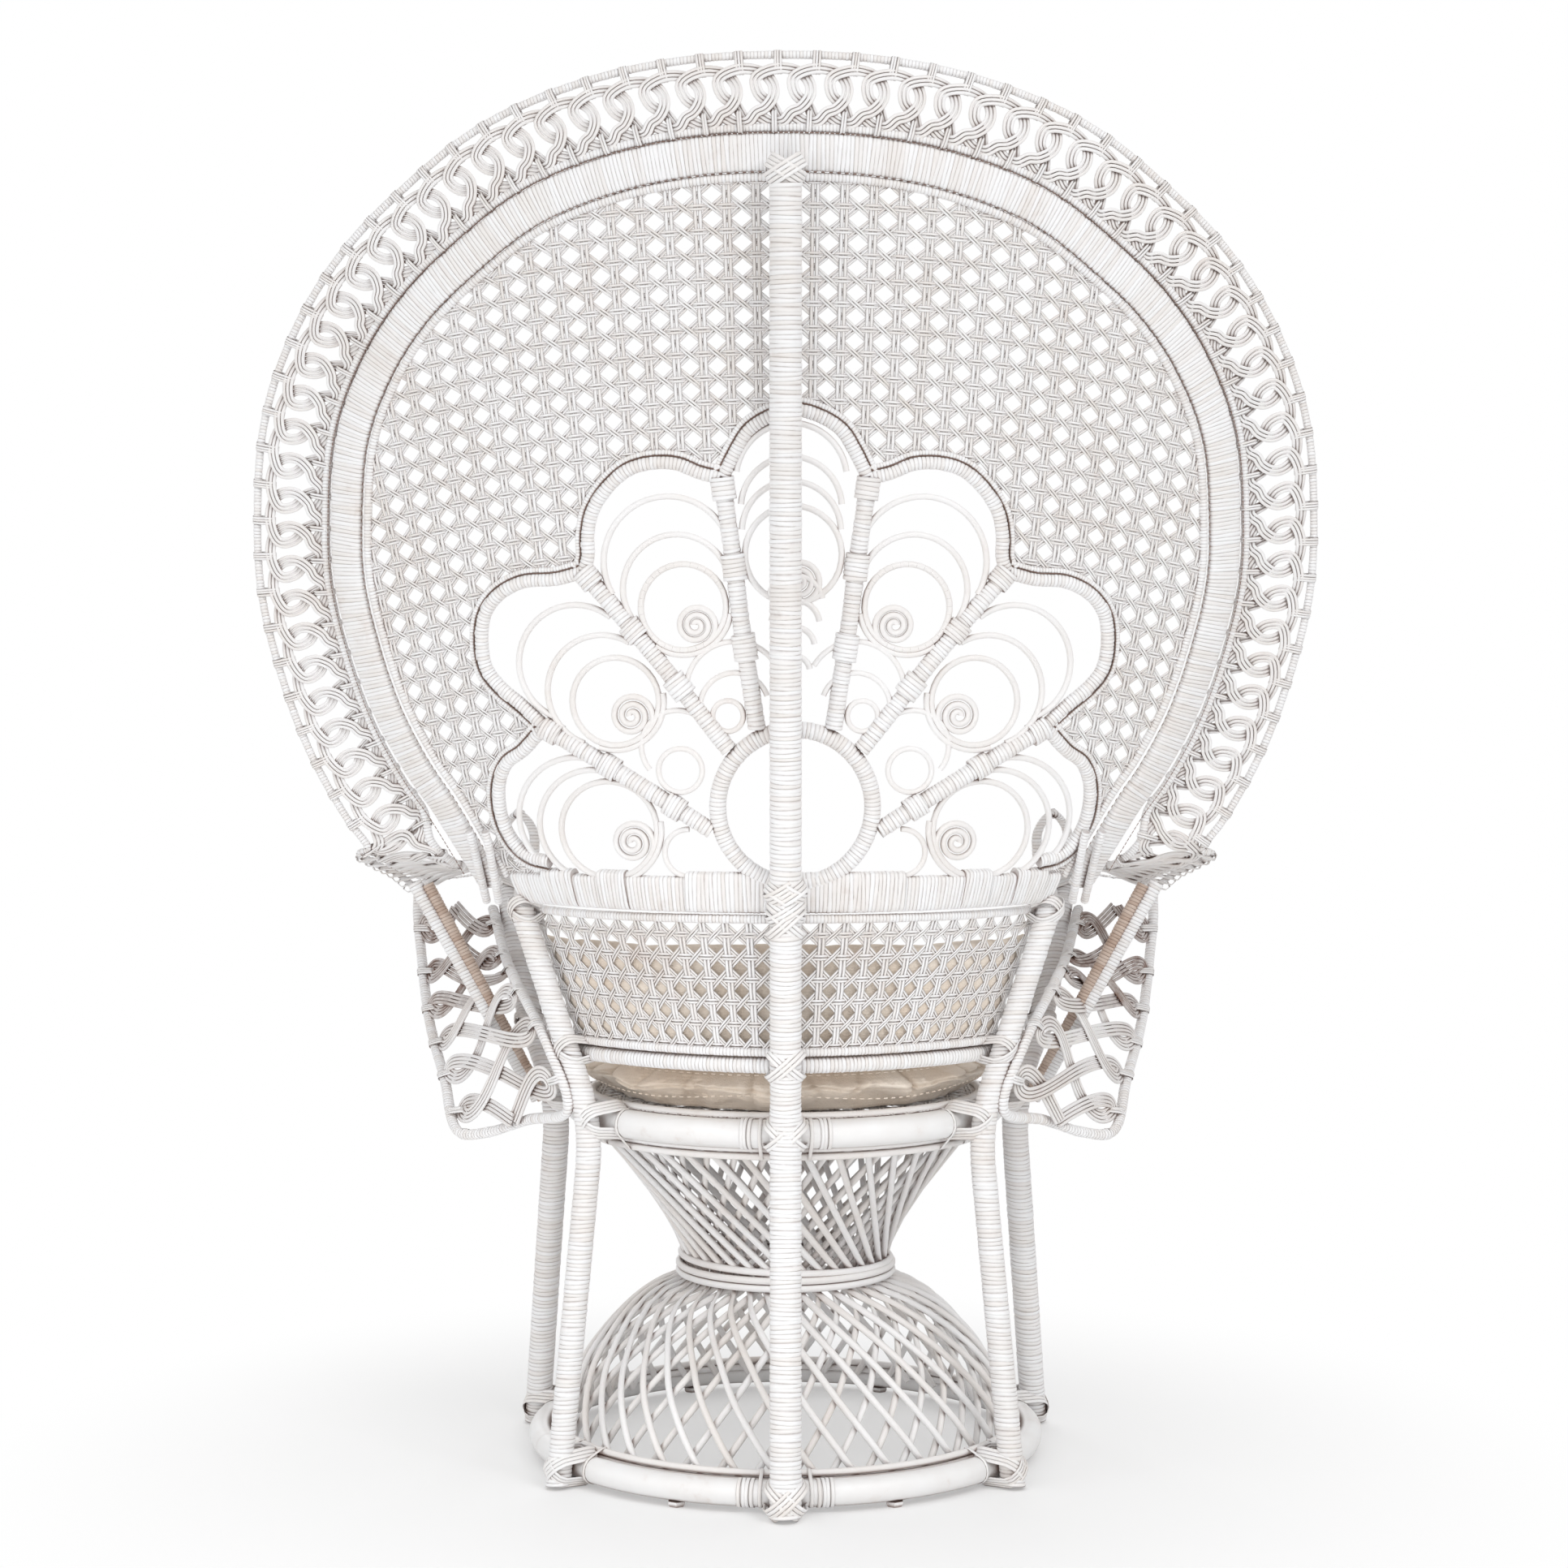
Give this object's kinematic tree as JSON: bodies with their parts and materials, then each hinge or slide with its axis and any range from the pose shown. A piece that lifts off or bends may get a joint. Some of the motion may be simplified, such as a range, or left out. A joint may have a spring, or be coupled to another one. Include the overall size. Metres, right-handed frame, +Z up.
{
  "type": "peacock chair",
  "caption": "High-backed peacock armchair of woven white-washed rattan, with a flower-pattern fan back, side aprons, an hourglass base and loose cushions.",
  "frame": {"origin": "on the floor, under the middle of the chair's bounding box", "axes": "+Z up, -Y towards the front of the chair, +X towards the sitter's left hand"},
  "size_m": [1.1522, 0.7078, 1.5106],
  "materials": {
    "wrapped_rattan": "white-washed rattan poles and hoops, tightly wrapped with flat cane strip, matt",
    "bare_rattan": "white-washed bare rattan rods and poles, satin",
    "cane_webbing": "white-washed flat cane woven in a six-way pattern, matt",
    "cotton_cover": "cream woven cotton over a soft filling, stitched and tufted, matt"
  },
  "bodies": {
    "root": {"base_ring": "bare_rattan", "base_trim_rods": "bare_rattan", "seat_ring": "bare_rattan", "seat_trim_rods": "bare_rattan", "waist_rods": "bare_rattan", "glide_rear_left": "bare_rattan", "glide_rear_right": "bare_rattan", "glide_front_left": "bare_rattan", "glide_front_right": "bare_rattan", "hourglass_rods_outer": "bare_rattan", "hourglass_rods_inner": "bare_rattan", "rear_post": "wrapped_rattan", "rear_leg_left": "wrapped_rattan", "front_leg_left": "wrapped_rattan", "rear_leg_right": "wrapped_rattan", "front_leg_right": "wrapped_rattan", "seat_deck": "cane_webbing", "seat_cushion": "cotton_cover", "back_cushion": "cotton_cover", "seat_hem_hoop": "wrapped_rattan", "barrel_lower_hoop": "wrapped_rattan", "barrel_upper_hoop": "wrapped_rattan", "barrel_webbing": "cane_webbing", "waist_band": "wrapped_rattan", "fan_band": "wrapped_rattan", "fan_inner_hoop": "wrapped_rattan", "fan_outer_hoop": "wrapped_rattan", "rim_hoop": "wrapped_rattan", "fan_fringe": "bare_rattan", "fan_webbing": "cane_webbing", "centre_ring": "wrapped_rattan", "spoke_top_left": "wrapped_rattan", "spoke_top_right": "wrapped_rattan", "spoke_upper_left": "wrapped_rattan", "spoke_upper_right": "wrapped_rattan", "spoke_side_left": "wrapped_rattan", "spoke_side_right": "wrapped_rattan", "petal_arch_top": "wrapped_rattan", "petal_arch_upper_left": "wrapped_rattan", "petal_arch_upper_right": "wrapped_rattan", "petal_arch_side_left": "wrapped_rattan", "petal_arch_side_right": "wrapped_rattan", "petal_arch_lower_left": "wrapped_rattan", "petal_arch_lower_right": "wrapped_rattan", "petal_scrolls_top": "bare_rattan", "petal_scrolls_upper_left": "bare_rattan", "petal_scrolls_upper_right": "bare_rattan", "petal_scrolls_side_left": "bare_rattan", "petal_scrolls_side_right": "bare_rattan", "petal_scrolls_lower_left": "bare_rattan", "petal_scrolls_lower_right": "bare_rattan", "arm_fringe_left": "bare_rattan", "apron_hoop_left": "wrapped_rattan", "apron_knots_left": "bare_rattan", "arm_brace_left": "wrapped_rattan", "arm_fringe_right": "bare_rattan", "apron_hoop_right": "wrapped_rattan", "apron_knots_right": "bare_rattan", "arm_brace_right": "wrapped_rattan"}
  },
  "joints": []
}
